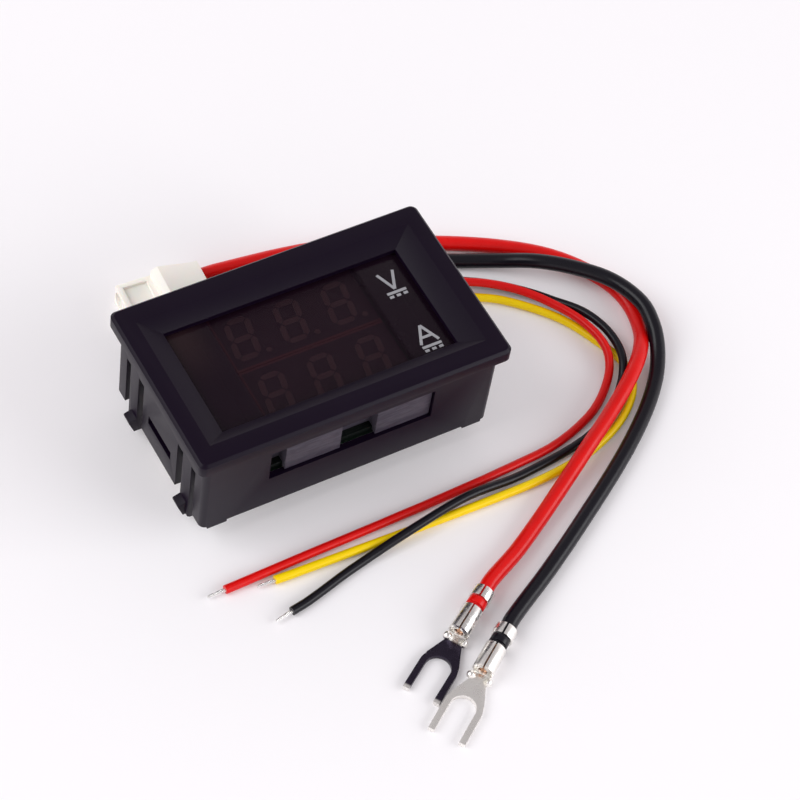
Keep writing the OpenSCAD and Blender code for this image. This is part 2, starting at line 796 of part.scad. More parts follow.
// Tube of eight sides along the points p
module tube(p, r) {
    n = len(p);
    rings = [for (i = [0:n - 1])
        let (t = heading(p, i), s = unit(cross(t, [0, 0, 1])),
            u = cross(s, t))
        for (a = [0:7])
            p[i] + r * (cos(a * 45 + 22.5) * s + sin(a * 45 + 22.5) * u)];
    sides = [for (i = [0:n - 2], a = [0:7])
        let (b = (a + 1) % 8)
        [i * 8 + a, (i + 1) * 8 + a, (i + 1) * 8 + b, i * 8 + b]];
    polyhedron(rings, concat(sides, [[for (a = [0:7]) a],
        [for (a = [7:-1:0]) (n - 1) * 8 + a]]), convexity = 8);
}

// A wire from one loose piece to the next, by way of its route
module wire(from, across, z0, route, to, z1, r, lead, tail) {
    tube(concat([reach(from, 0, across, z0), reach(from, lead, across, z0)],
        route, [reach(to, -tail, 0, z1), reach(to, 0, 0, z1)]), r);
}

module red_current_wire() {
    color("#c8202a") wire(PLUG, current_pitch / 2, plug_h / 2,
        RED_CURRENT_ROUTE, RED_FORK, band_r, thick_r, 3, 2.2);
}
module black_current_wire() {
    color("#1a1a1c") wire(PLUG, -current_pitch / 2, plug_h / 2,
        BLACK_CURRENT_ROUTE, BLACK_FORK, band_r, thick_r, 3, 2.2);
}
module red_supply_wire() {
    color("#c8202a") wire(SUPPLY_PLUG, 0, supply_plug_h / 2,
        RED_SUPPLY_ROUTE, RED_TIP, thin_r, thin_r, 3, 3);
}
module black_supply_wire() {
    color("#1a1a1c") wire(SUPPLY_PLUG, supply_pitch, supply_plug_h / 2,
        BLACK_SUPPLY_ROUTE, BLACK_TIP, thin_r, thin_r, 3, 3);
}
module yellow_sense_wire() {
    color("#f0c419") wire(SUPPLY_PLUG, -supply_pitch, supply_plug_h / 2,
        YELLOW_SENSE_ROUTE, YELLOW_TIP, thin_r, thin_r, 3, 3);
}

// Cut end of the insulation, from the band to the barrel
module wire_end() {
    translate([0, 0, band_r]) rotate([0, 90, 0])
        cylinder(r = thick_r, h = band_l + 1.4);
    translate([band_l + 0.1, 0, band_r + 0.12]) rotate([0, 90, 0])
        cylinder(r = thick_r + 0.2, h = 1.1);
}

// Strands from the insulation through the barrel
module fork_core() {
    translate([band_l + 1.4, 0, band_r]) rotate([0, 90, 0])
        cylinder(d = 1.2, h = barrel_l);
}

// Crimped fork terminal, its tips toward +X
module fork() {
    bx = band_l + 1.7;
    nx = bx + barrel_l;
    fr = fork_w / 2;
    ux = nx + 5.9;
    core_r = 0.7;
    // insulation band and its strip to the barrel
    translate([0, 0, band_r]) rotate([0, 90, 0]) difference() {
        cylinder(r = band_r, h = band_l);
        translate([0, 0, -1]) cylinder(r = thick_r + 0.05, h = band_l + 2);
        block([-2 * band_r, -0.15, -1], [0, 0.15, band_l + 1]);
    }
    block([band_l - eps, -0.9, 0], [bx + eps, 0.9, 0.25]);
    // conductor barrel
    translate([bx, 0, band_r]) rotate([0, 90, 0]) difference() {
        cylinder(r = band_r - 0.05, h = barrel_l);
        translate([0, 0, -1]) cylinder(r = core_r, h = barrel_l + 2);
        block([-2 * band_r, -0.12, -1], [0, 0.12, barrel_l + 1]);
    }
    // crimped ears on both sides of the neck
    for (y = [-1, 1]) translate([nx + 0.7, y * 1.25, 0.7])
        sphere(0.65);
    // neck and fork blade
    linear_extrude(sheet_t) difference() {
        union() {
            polygon([[nx - 0.8, -1.2], [nx + 1.2, -1.2],
                [ux - 1.4, -fr + 0.25], [ux - 1.4, fr - 0.25],
                [nx + 1.2, 1.2], [nx - 0.8, 1.2]]);
            translate([ux, 0]) circle(fr);
            translate([ux, -fr]) square([prong_l, fork_w]);
        }
        translate([ux, 0]) circle(fork_gap / 2);
        translate([ux, -fork_gap / 2]) square([prong_l + 1, fork_gap]);
    }
}

module red_wire_end() { color("#c8202a") at(RED_FORK) wire_end(); }
module black_wire_end() { color("#1a1a1c") at(BLACK_FORK) wire_end(); }
module red_conductor() { color("#b87333") at(RED_FORK) fork_core(); }
module black_conductor() { color("#b87333") at(BLACK_FORK) fork_core(); }
module red_fork() { color("silver") at(RED_FORK) fork(); }
module black_fork() { color("silver") at(BLACK_FORK) fork(); }

// Tinned strands at the end of a thin wire
module tinned_end(p) {
    color("silver") at(p) translate([0, 0, thin_r]) rotate([0, 90, 0])
        cylinder(d = conductor_d, h = stripped_l);
}

module red_tinned_end() { tinned_end(RED_TIP); }
module black_tinned_end() { tinned_end(BLACK_TIP); }
module yellow_tinned_end() { tinned_end(YELLOW_TIP); }

housing();
window_lens();
unit_marks();
display_carrier();
upper_display();
lower_display();
upper_segments();
lower_segments();
upper_display_pins();
lower_display_pins();
circuit_board();
current_header();
current_header_pins();
supply_header();
supply_header_pins();
shunt_wire();
volt_trimmer();
volt_rotor();
amp_trimmer();
amp_rotor();
controller_chip();
controller_leads();
amplifier_chip();
amplifier_leads();
regulator();
regulator_tabs();
chip_resistors();
chip_capacitors();
current_plug();
current_contacts();
supply_plug();
supply_contacts();
red_current_wire();
black_current_wire();
red_supply_wire();
black_supply_wire();
yellow_sense_wire();
red_wire_end();
black_wire_end();
red_conductor();
black_conductor();
red_fork();
black_fork();
red_tinned_end();
black_tinned_end();
yellow_tinned_end();
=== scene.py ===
import json
import math

import bpy
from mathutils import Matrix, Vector


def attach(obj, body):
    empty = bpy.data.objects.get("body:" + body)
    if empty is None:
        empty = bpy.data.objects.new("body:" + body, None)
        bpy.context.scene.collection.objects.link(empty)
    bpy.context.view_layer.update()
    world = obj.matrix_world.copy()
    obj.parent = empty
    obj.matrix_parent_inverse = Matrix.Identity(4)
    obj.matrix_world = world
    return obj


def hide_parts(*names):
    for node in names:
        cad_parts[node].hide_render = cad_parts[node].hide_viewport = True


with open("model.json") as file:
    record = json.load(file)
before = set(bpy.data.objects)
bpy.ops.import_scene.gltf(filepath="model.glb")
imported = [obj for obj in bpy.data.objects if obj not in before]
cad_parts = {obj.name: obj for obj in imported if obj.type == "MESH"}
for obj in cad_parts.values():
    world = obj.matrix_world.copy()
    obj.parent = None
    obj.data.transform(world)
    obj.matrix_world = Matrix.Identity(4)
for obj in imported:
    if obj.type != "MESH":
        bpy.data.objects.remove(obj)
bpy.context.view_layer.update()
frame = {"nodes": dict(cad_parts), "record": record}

MM = 0.001
nodes = frame["nodes"]
slots = {subpart["node"]: subpart["material_slot"]
         for subpart in frame["record"]["subparts"]}


# ---- camera ---------------------------------------------------------------

camera_data = bpy.data.cameras.new("studio_camera")
camera_data.sensor_width = 36
camera_data.lens = 126.53
camera_data.clip_start = 0.01
camera_data.clip_end = 20
camera = bpy.data.objects.new("studio_camera", camera_data)
camera.location = (-0.13144, -0.19290, 0.32724)
camera.rotation_euler = [math.radians(turn) for turn in (35.743, -6.291, -28.940)]
bpy.context.collection.objects.link(camera)
bpy.context.scene.camera = camera


# ---- shader arithmetic ----------------------------------------------------

class Signal:
    """A node's output that takes part in ordinary arithmetic."""

    def __init__(self, finish, socket):
        self.finish = finish
        self.socket = socket

    def maths(self, operation, *values):
        """Adds a maths node that takes these values or signals."""
        return self.finish.node("ShaderNodeMath", {"operation": operation}, *values)

    def __add__(self, other):
        return self.maths("ADD", self, other)

    __radd__ = __add__

    def __sub__(self, other):
        return self.maths("SUBTRACT", self, other)

    def __rsub__(self, other):
        return self.maths("SUBTRACT", other, self)

    def __mul__(self, other):
        return self.maths("MULTIPLY", self, other)

    __rmul__ = __mul__

    def __abs__(self):
        return self.maths("ABSOLUTE", self)

    def above(self, edge, softness):
        """0 below the edge, 1 above it, with a soft step between."""
        return self.finish.node(
            "ShaderNodeMapRange",
            {"interpolation_type": "SMOOTHSTEP"},
            self, edge - softness, edge + softness)


# Sockets of the mix node for colours, which share their names with others
MIX_AMOUNT = 0
MIX_FIRST = 6
MIX_SECOND = 7
MIX_RESULT = 2


class Finish:
    """One material: its node tree and the shader that it ends in."""

    def __init__(self, name, **fixed):
        self.material = bpy.data.materials.new(name)
        self.material.use_nodes = True
        self.tree = self.material.node_tree
        self.shader = self.tree.nodes["Principled BSDF"]
        for words, value in fixed.items():
            self.shader.inputs[words.replace("_", " ")].default_value = value

    def node(self, kind, settings, *values, output=0, **named):
        """Adds a node, sets it up, and gives its inputs values or links."""
        node = self.tree.nodes.new(kind)
        for key, value in settings.items():
            setattr(node, key, value)
        inputs = [(node.inputs[place], value) for place, value in enumerate(values)]
        inputs += [(node.inputs[words.replace("_", " ")], value)
                   for words, value in named.items()]
        for socket, value in inputs:
            if isinstance(value, Signal):
                self.tree.links.new(value.socket, socket)
            else:
                socket.default_value = value
        return Signal(self, node.outputs[output])

    def place(self):
        """Object coordinates, in metres."""
        return self.node("ShaderNodeTexCoord", {}, output="Object")

    def parts_of_place(self):
        """The three object coordinates, in metres."""
        split = self.node("ShaderNodeSeparateXYZ", {}, self.place()).socket.node
        return [Signal(self, socket) for socket in split.outputs]

    def stretched(self, x, y, z):
        """Object coordinates scaled by a factor along each axis."""
        return self.node("ShaderNodeMapping", {}, self.place(), Scale=(x, y, z))

    def noise(self, size_mm, detail=3.0, where=None):
        """Cloudy pattern whose features are about size_mm across."""
        return self.node(
            "ShaderNodeTexNoise", {}, where or self.place(),
            Scale=1 / (size_mm * MM), Detail=detail, Roughness=0.55)

    def blend(self, amount, first, second):
        """Mixes two colours by a signal."""
        node = self.tree.nodes.new("ShaderNodeMix")
        node.data_type = "RGBA"
        self.tree.links.new(amount.socket, node.inputs[MIX_AMOUNT])
        for place, colour in ((MIX_FIRST, first), (MIX_SECOND, second)):
            if isinstance(colour, Signal):
                self.tree.links.new(colour.socket, node.inputs[place])
            else:
                node.inputs[place].default_value = (*colour, 1)
        return Signal(self, node.outputs[MIX_RESULT])

    def set(self, **signals):
        """Links signals to the shader's inputs, such as Base_Color."""
        for words, signal in signals.items():
            self.tree.links.new(signal.socket, self.shader.inputs[words.replace("_", " ")])

    def relief(self, height, depth_mm):
        """Bumps the surface by a height signal."""
        self.set(Normal=self.node(
            "ShaderNodeBump", {}, Strength=1.0, Distance=depth_mm * MM, Height=height))


# ---- finishes -------------------------------------------------------------

def moulded_surface(finish, roughness, grain_mm):
    """Uneven gloss and fine eroded grain, as a mould leaves them."""
    cloud = finish.noise(5.0)
    grain = finish.noise(grain_mm, detail=2.0)
    finish.set(Roughness=roughness - 0.05 + cloud * 0.08 + grain * 0.04)
    finish.relief(grain, 0.006)
    return cloud


def moulded(name, colour, roughness, grain_mm=0.16, mottle=0.12, **fixed):
    """Moulded plastic of one colour, faintly clouded."""
    finish = Finish(name, **fixed)
    cloud = moulded_surface(finish, roughness, grain_mm)
    dark = [part * (1 - mottle) for part in colour]
    light = [part * (1 + mottle) for part in colour]
    finish.set(Base_Color=finish.blend(cloud, dark, light))
    return finish


def brushed_plastic(name, colour, light):
    """Grey plastic with fine streaks along X, as a worn mould leaves them."""
    finish = Finish(name, Specular_IOR_Level=0.3)
    streaks = finish.noise(0.35, where=finish.stretched(0.18, 1, 1))
    grain = finish.noise(0.14)
    finish.set(Base_Color=finish.blend(streaks.above(0.5, 0.15), colour, light))
    finish.set(Roughness=0.42 + grain * 0.1)
    finish.relief(streaks * 0.6 + grain * 0.4, 0.012)
    return finish


def tin_surface(finish, roughness):
    """Soft waves and small dull spots of tin plate."""
    cloud = finish.noise(1.2)
    spots = finish.noise(0.35, detail=4.0).above(0.62, 0.08)
    finish.set(Roughness=roughness + cloud * 0.12 + spots * 0.15)
    finish.relief(cloud, 0.02)
    return spots


def bright_tin(name, colour, roughness=0.2):
    """Tin plate: pale metal, duller at its spots."""
    finish = Finish(name, Metallic=1.0)
    spots = tin_surface(finish, roughness)
    dull = [part * 0.72 for part in colour]
    finish.set(Base_Color=finish.blend(spots * 0.5, colour, dull))
    return finish


def painted_reflection_blade(name, place, start_mm, end_mm, top_mm):
    """Tin plate with a painted dark reflection on its flat blade, between its neck and its
    tips.
    """
    finish = Finish(name, Metallic=1.0)
    tin_surface(finish, 0.2)
    x, y, turn = place
    run_x = math.cos(math.radians(turn))
    run_y = math.sin(math.radians(turn))
    along_x, along_y, up = finish.parts_of_place()
    run = along_x * run_x + along_y * run_y - (x * run_x + y * run_y) * MM
    blade = run.above(start_mm * MM, 0.2 * MM) * (1 - run.above(end_mm * MM, 0.2 * MM))
    blade = blade * (1 - up.above(top_mm * MM, 0.05 * MM))
    # Painted reflection: the flat blade is painted dark and clouded, while the neck, the ears
    # and the tips stay bright tin
    reflection_cloud = finish.noise(1.5)
    dark = finish.blend(reflection_cloud, (0.030, 0.024, 0.040), (0.055, 0.045, 0.070))
    finish.set(Base_Color=finish.blend(blade, (0.88, 0.86, 0.83), dark))
    return finish


def soft_vinyl(name, colour, light):
    """Insulation of a wire: smooth, with a faint waxy clouding."""
    finish = Finish(name, Specular_IOR_Level=0.28)
    cloud = finish.noise(2.5)
    grain = finish.noise(0.3)
    finish.set(Base_Color=finish.blend(cloud, colour, light))
    finish.set(Roughness=0.24 + grain * 0.10)
    finish.relief(grain, 0.008)
    return finish


# Edges in the finishes, in mm: the window's clear middle, its far corner where a light spot is
# painted, and the displays' ends along X and Y, where highlights are painted, the board's edges
# painted dark as shade and its front face
WINDOW_SIDE = 11.6
LIGHT_SPOT_ALONG = -13.5
LIGHT_SPOT_ACROSS = 3.5
DISPLAY_HIGHLIGHT_EDGE = 10.9
BOARD_SHADED_EDGE = 10.8
BOARD_FACE = 10.2
TRACKS_PER_METRE = 620


def smoked_red():
    """Clear red plastic so dark that what lies behind it hardly shows."""
    finish = Finish("smoked_red", Specular_IOR_Level=0.2)
    haze = finish.noise(9.0)
    along, across, _ = finish.parts_of_place()
    # Painted light spot: the window's far left corner is painted paler red
    painted_light_spot = (across.above(LIGHT_SPOT_ACROSS * MM, 5.5 * MM)
            * (1 - along.above(LIGHT_SPOT_ALONG * MM, 2.5 * MM)))
    deep = finish.blend(haze, (0.007, 0.002, 0.006), (0.011, 0.004, 0.010))
    finish.set(Base_Color=finish.blend(painted_light_spot * 0.7, deep, (0.030, 0.015, 0.017)))
    finish.set(Roughness=0.16 + haze * 0.06)
    sides = abs(along).above(WINDOW_SIDE * MM, 0.2 * MM)
    finish.set(Alpha=0.42 + haze * 0.04 + sides * 0.36)
    return finish


def display_face():
    """Dark red moulding with a painted highlight on its seam and its left end, where they catch
    the light through the window.
    """
    finish = Finish("display_face")
    moulded_surface(finish, 0.5, 1.2)
    along, across, _ = finish.parts_of_place()
    # Painted highlight: the seam between the displays and their left end are painted paler red
    seam = 1 - abs(across).above(0.4 * MM, 0.1 * MM)
    painted_rim_highlight = seam + (1 - along.above(-DISPLAY_HIGHLIGHT_EDGE * MM, 0.2 * MM))
    cloud = finish.noise(3.0)
    plain = finish.blend(cloud, (0.040, 0.010, 0.022), (0.055, 0.014, 0.028))
    finish.set(Base_Color=finish.blend(painted_rim_highlight * 0.8, plain, (0.20, 0.045, 0.05)))
    return finish


def solder_resist():
    """Green coat of the board over tracks that stand out a little."""
    finish = Finish("solder_resist", Specular_IOR_Level=0.35)
    run = finish.node(
        "ShaderNodeTexBrick", {"offset": 0.5}, finish.stretched(*[TRACKS_PER_METRE] * 3),
        Mortar_Size=0.12, Scale=1.0, Brick_Width=3.4, Row_Height=0.7, output="Fac")
    cloud = finish.noise(6.0)
    tracks = run * finish.noise(4.0).above(0.48, 0.04)
    _, across, up = finish.parts_of_place()
    # Painted shade: the board's edges above a height are painted near black, as shade inside
    # the case
    painted_shade_rim = abs(across).above(BOARD_SHADED_EDGE * MM, 0.1 * MM) * up.above(BOARD_FACE * MM, 0.1 * MM)
    field = finish.blend(cloud, (0.002, 0.028, 0.010), (0.003, 0.038, 0.013))
    printed = finish.blend(tracks * 0.6, field, (0.004, 0.060, 0.020))
    finish.set(Base_Color=finish.blend(painted_shade_rim, printed, (0.001, 0.003, 0.002)))
    finish.set(Roughness=0.3 + cloud * 0.08)
    finish.relief(tracks, 0.03)
    return finish


def drawn_wire(name, colour):
    """Drawn metal with fine lines along it."""
    finish = Finish(name, Metallic=1.0)
    lines = finish.noise(0.12, where=finish.stretched(1, 0.15, 1))
    tarnish = finish.noise(1.5)
    finish.set(Base_Color=finish.blend(tarnish, [c * 0.7 for c in colour], colour))
    finish.set(Roughness=0.28 + lines * 0.15)
    finish.relief(lines, 0.01)
    return finish


CASE = (0.0048, 0.0012, 0.0082)
finishes = {
    "case": moulded("case_plastic", CASE, 0.38, Specular_IOR_Level=0.14),
    "lens": smoked_red(),
    "marks": moulded("white_print", (0.30, 0.30, 0.32), 0.6, grain_mm=0.1, mottle=0.2),
    "carrier": brushed_plastic("carrier_plastic", (0.040, 0.034, 0.050), (0.062, 0.055, 0.074)),
    "shell": display_face(),
    "segments": moulded("cast_resin", (0.15, 0.065, 0.075), 0.35, grain_mm=1.2),
    "tinned": bright_tin("bright_tin", (0.90, 0.89, 0.87)),
    "fork": bright_tin("fork_tin", (0.97, 0.95, 0.91), 0.22),
    "board": solder_resist(),
    "nylon": moulded("natural_nylon", (0.97, 0.93, 0.85), 0.35, mottle=0.03,
                     Subsurface_Weight=0.15, Subsurface_Scale=0.001),
    "shunt": drawn_wire("shunt_wire", (0.72, 0.45, 0.28)),
    "trimmer": moulded("trimmer_blue", (0.02, 0.09, 0.35), 0.35),
    "rotor": moulded("rotor_white", (0.65, 0.62, 0.55), 0.5),
    "chip": moulded("epoxy", (0.012, 0.012, 0.013), 0.55, grain_mm=0.1),
    "resistor": moulded("thick_film", (0.014, 0.014, 0.017), 0.3),
    "capacitor": moulded("fired_ceramic", (0.33, 0.22, 0.12), 0.45),
    "red_wire": soft_vinyl("red_vinyl", (0.62, 0.002, 0.002), (0.74, 0.004, 0.003)),
    "black_wire": soft_vinyl("black_vinyl", (0.003, 0.0025, 0.006), (0.005, 0.004, 0.008)),
    "yellow_wire": soft_vinyl("yellow_vinyl", (0.93, 0.64, 0.0), (0.98, 0.71, 0.0)),
    "copper": drawn_wire("copper_strands", (0.75, 0.42, 0.26)),
}


def paint(piece, slot):
    """Gives a piece the finish of a material slot."""
    piece.data.materials.clear()
    piece.data.materials.append(finishes[slot].material)


for node, slot in slots.items():
    if node in nodes:
        paint(nodes[node], slot)


# ---- leads ----------------------------------------------------------------

# Diameters, pitches and heights, in mm
THICK = 2.3
THIN = 1.3
CURRENT_PITCH = 3.96
SUPPLY_PITCH = 2.54
PLUG_MIDDLE = 2
SUPPLY_PLUG_MIDDLE = 2.3
FORK_AXIS = 1.6

# Places of the loose pieces, as x, y and turn, and the wires' routes between them
PLUG = (-2.5, 25.7, -3)
SUPPLY_PLUG = (10, 17.7, -3)
RED_FORK = (9.05, -37.1, 213)
BLACK_FORK = (8.86, -43.62, 214.5)
RED_TIP = (-22.8, -21.3, 181)
BLACK_TIP = (-16.1, -28.2, 190)
YELLOW_TIP = (-15.9, -22.8, 177)
RED_CURRENT_ROUTE = [
    (14, 26.3, 1.15), (23.5, 23.5, 1.15), (33, 19.6, 1.15), (41.5, 15.1, 1.15),
    (48, 10.2, 1.15), (52.4, 4.2, 1.15), (54.1, -1.2, 1.15), (53.3, -6.8, 1.2),
    (50.4, -11.3, 2.5), (46, -15.3, 3.1), (40.5, -19.1, 2.8), (34.5, -22.8, 2.8),
    (29, -26, 1.8), (22, -30.1, 1.15), (16.5, -33.2, 1.15),
]
BLACK_CURRENT_ROUTE = [
    (14, 22.6, 1.15), (24, 19.7, 1.15), (34, 15.4, 1.15), (40.4, 12, 1.9), (44.6, 8.7, 3.4),
    (49.2, 4.9, 3.7), (52.8, 0.8, 3.7), (54.6, -4.4, 3.7), (54.2, -8.6, 3.3),
    (53.1, -12, 2.1), (50.6, -15.8, 1.2), (45.6, -20.6, 1.15), (38, -26.2, 1.15),
    (26, -33.7, 1.15), (18.8, -37.9, 1.15),
]
RED_SUPPLY_ROUTE = [
    (26, 13.8, 2), (34.8, 9.9, 2), (39.6, 6.3, 2), (43.1, 1.9, 2), (45.6, -3.2, 2.1),
    (46.2, -8.8, 2), (44, -13, 0.9), (38, -17.4, 0.65), (28, -20, 0.65),
]
BLACK_SUPPLY_ROUTE = [
    (26, 15.6, 0.65), (35.3, 10.9, 0.65), (40.2, 7.3, 0.65), (44.3, 3, 0.7),
    (46.6, -1.2, 1.9), (47.9, -5, 2.1), (48.1, -8.6, 2.1), (47.3, -11.6, 2.05),
    (45.4, -14.5, 1), (41.5, -17.8, 0.65), (35.4, -20.6, 0.65), (24, -22.1, 0.7),
    (14.5, -22.7, 2.05), (6, -24, 2.05), (-4, -25.4, 0.65),
]
YELLOW_SENSE_ROUTE = [
    (26, 11.7, 0.65), (35.5, 7.5, 0.65), (40.1, 3.7, 0.65), (43.9, -0.9, 0.65),
    (46.4, -6.2, 0.65), (47.9, -11, 0.65), (47.2, -15, 0.65), (43.8, -18.7, 0.65),
    (39, -21.4, 0.65), (32.5, -23.3, 0.65), (22.5, -24, 0.65),
]


def beside(place, along, across, height):
    """Point near a loose piece, in millimetres along and across its turn."""
    x, y, turn = place
    c = math.cos(math.radians(turn))
    s = math.sin(math.radians(turn))
    return (x + along * c - across * s, y + along * s + across * c, height)


def smooth_line(points):
    """Points of a smooth curve through the route's points."""
    steps = 5
    padded = [points[0] * 2 - points[1], *points, points[-1] * 2 - points[-2]]
    line = []
    for before, start, end, after in zip(padded, padded[1:], padded[2:], padded[3:]):
        span = (end - start).length
        leave = (end - before).normalized() * span
        arrive = (after - start).normalized() * span
        for step in range(steps):
            t = step / steps
            line.append(start * (2 * t**3 - 3 * t**2 + 1) + leave * (t**3 - 2 * t**2 + t)
                        + end * (3 * t**2 - 2 * t**3) + arrive * (t**3 - t**2))
    line.append(points[-1])
    return line


def length_of(line):
    """Length along the line's points."""
    return sum((b - a).length for a, b in zip(line, line[1:]))


def wire(name, slot, thickness, start, across, start_height, route, end, end_height,
         lead, tail):
    """A free wire through its route, as one curve with a round section.

    It leaves the first piece straight for lead and enters the last one straight
    for tail.
    """
    ends = [beside(start, 0, across, start_height),
            beside(start, lead, across, start_height),
            beside(end, -tail, 0, end_height), beside(end, 0, 0, end_height)]
    points = [Vector(p) * MM for p in [*ends[:2], *route, *ends[2:]]]
    line = smooth_line(points)
    radius = thickness * MM / 2
    curve = bpy.data.curves.new(name, "CURVE")
    curve.dimensions = "3D"
    curve.bevel_depth = radius
    curve.bevel_resolution = 5
    curve.use_fill_caps = True
    spline = curve.splines.new("POLY")
    spline.points.add(len(line) - 1)
    for knot, point in zip(spline.points, line):
        knot.co = (point.x, point.y, max(point.z, radius), 1)
    spline.use_smooth = True
    piece = bpy.data.objects.new(name, curve)
    bpy.context.collection.objects.link(piece)
    piece.data.materials.append(finishes[slot].material)
    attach(piece, "meter")
    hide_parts(name.replace("_lead", "_wire"))
    return piece, line, thickness


def declare(lead):
    """Works out a wire's length along its line and its thickness in metres, and keeps neither.
    """
    piece, line, thickness = lead
    length_of(line)
    thickness * MM


red_current_lead = wire(
    "red_current_lead", "red_wire", THICK, PLUG, CURRENT_PITCH / 2, PLUG_MIDDLE,
    RED_CURRENT_ROUTE, RED_FORK, FORK_AXIS, lead=3, tail=2.2)
black_current_lead = wire(
    "black_current_lead", "black_wire", THICK, PLUG, -CURRENT_PITCH / 2, PLUG_MIDDLE,
    BLACK_CURRENT_ROUTE, BLACK_FORK, FORK_AXIS, lead=3, tail=2.2)
red_supply_lead = wire(
    "red_supply_lead", "red_wire", THIN, SUPPLY_PLUG, 0, SUPPLY_PLUG_MIDDLE,
    RED_SUPPLY_ROUTE, RED_TIP, THIN / 2, lead=3, tail=3)
black_supply_lead = wire(
    "black_supply_lead", "black_wire", THIN, SUPPLY_PLUG, SUPPLY_PITCH, SUPPLY_PLUG_MIDDLE,
    BLACK_SUPPLY_ROUTE, BLACK_TIP, THIN / 2, lead=3, tail=3)
yellow_sense_lead = wire(
    "yellow_sense_lead", "yellow_wire", THIN, SUPPLY_PLUG, -SUPPLY_PITCH, SUPPLY_PLUG_MIDDLE,
    YELLOW_SENSE_ROUTE, YELLOW_TIP, THIN / 2, lead=3, tail=3)


# ---- modelling helpers ----------------------------------------------------

def choose(piece):
    """Leaves only this piece selected and active."""
    bpy.ops.object.select_all(action="DESELECT")
    piece.select_set(True)
    bpy.context.view_layer.objects.active = piece


def start_editing(piece):
    """Opens this piece alone in edit mode, with nothing in it selected."""
    choose(piece)
    bpy.ops.object.mode_set(mode="EDIT")
    bpy.ops.mesh.select_all(action="DESELECT")


def stop_editing():
    """Goes back from edit mode to object mode."""
    bpy.ops.object.mode_set(mode="OBJECT")


def hand_over(piece, node, body="meter"):
    """The piece gets the node's finish and body, and stands in for it."""
    paint(piece, slots[node])
    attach(piece, body)
    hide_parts(node)
    return piece


def eased(node, name, width_mm, segments=2, body="meter", angle=28, smooth=40):
    """A copy of a node with its edges eased, which stands in for the node."""
    choose(nodes[node])
    bpy.ops.object.duplicate()
    piece = bpy.context.active_object
    piece.parent = None
    piece.name = name
    piece.data.name = name
    start_editing(piece)
    bpy.ops.mesh.select_all(action="SELECT")
    bpy.ops.mesh.remove_doubles(threshold=0.000001)
    bpy.ops.mesh.dissolve_limited(angle_limit=math.radians(1))
    stop_editing()
    bevel = piece.modifiers.new("eased_edges", "BEVEL")
    bevel.width = width_mm * MM
    bevel.segments = segments
    bevel.limit_method = "ANGLE"
    bevel.angle_limit = math.radians(angle)
    bpy.ops.object.modifier_apply(modifier=bevel.name)
    bpy.ops.object.shade_smooth_by_angle(angle=math.radians(smooth))
    return hand_over(piece, node, body)


def put_in_place(piece, place, height_mm):
    """Lays a piece that was made along Z on the floor, along a loose piece's turn."""
    x, y, turn = place
    choose(piece)
    piece.rotation_euler = (0, math.radians(90), math.radians(turn))
    piece.location = (x * MM, y * MM, height_mm * MM)
    bpy.ops.object.transform_apply(location=True, rotation=True, scale=True)


STRAND_SIDES = 10


def strands(node, name, place, height_mm, start_mm, length_mm, spread_mm, strand_mm,
            taper=0.0):
    """Six twisted strands round one straight strand, along a wire's end."""
    steps = 9
    twist = math.radians(17)
    bpy.ops.object.select_all(action="DESELECT")
    bpy.ops.mesh.primitive_circle_add(
        vertices=STRAND_SIDES, radius=strand_mm * MM / 2, fill_type="NGON",
        location=(0, 0, 0))
    piece = bpy.context.active_object
    piece.name = name
    piece.data.name = name
    start_editing(piece)
    for outer in range(6):
        angle = math.radians(60 * outer)
        bpy.ops.mesh.primitive_circle_add(
            vertices=STRAND_SIDES, radius=strand_mm * MM / 2, fill_type="NGON",
            location=(spread_mm * MM * math.cos(angle), spread_mm * MM * math.sin(angle), 0))
    bpy.ops.mesh.select_all(action="SELECT")
    bpy.ops.transform.translate(value=(0, 0, start_mm * MM))
    narrowing = 1 - taper / steps
    for _ in range(steps):
        bpy.ops.mesh.extrude_region_move(
            TRANSFORM_OT_translate={"value": (0, 0, length_mm * MM / steps)})
        bpy.ops.transform.rotate(value=twist, orient_axis="Z", center_override=(0, 0, 0))
        bpy.ops.transform.resize(value=(narrowing, narrowing, 1), center_override=(0, 0, 0))
    bpy.ops.mesh.select_all(action="SELECT")
    bpy.ops.mesh.normals_make_consistent(inside=False)
    stop_editing()
    bpy.ops.object.shade_smooth_by_angle(angle=math.radians(50))
    put_in_place(piece, place, height_mm)
    return hand_over(piece, node)


# ---- pieces ---------------------------------------------------------------

eased("housing", "case_moulding", 0.14, segments=3, angle=20, smooth=25)
for node, name, width in (
        ("window_lens", "smoked_window", 0.08),
        ("display_carrier", "display_frame", 0.08),
        ("upper_display", "upper_module", 0.08),
        ("lower_display", "lower_module", 0.08),
        ("circuit_board", "control_board", 0.06),
        ("current_header", "current_inlet", 0.12),
        ("supply_header", "supply_inlet", 0.12),
        ("current_header_pins", "current_posts", 0.12),
        ("supply_header_pins", "supply_posts", 0.08),
        ("controller_chip", "controller_body", 0.08),
        ("controller_leads", "controller_legs", 0.03),
        ("amplifier_chip", "amplifier_body", 0.08),
        ("amplifier_leads", "amplifier_legs", 0.03),
        ("regulator", "regulator_body", 0.1),
        ("regulator_tabs", "regulator_legs", 0.04),
        ("volt_trimmer", "volt_trimmer_seat", 0.1),
        ("amp_trimmer", "amp_trimmer_seat", 0.1),
        ("chip_resistors", "film_resistors", 0.06),
        ("chip_capacitors", "ceramic_capacitors", 0.1),
        ("current_plug", "current_plug_body", 0.18),
        ("supply_plug", "supply_plug_body", 0.18),
        ("red_wire_end", "red_insulation_end", 0.12),
        ("black_wire_end", "black_insulation_end", 0.12)):
    eased(node, name, width)
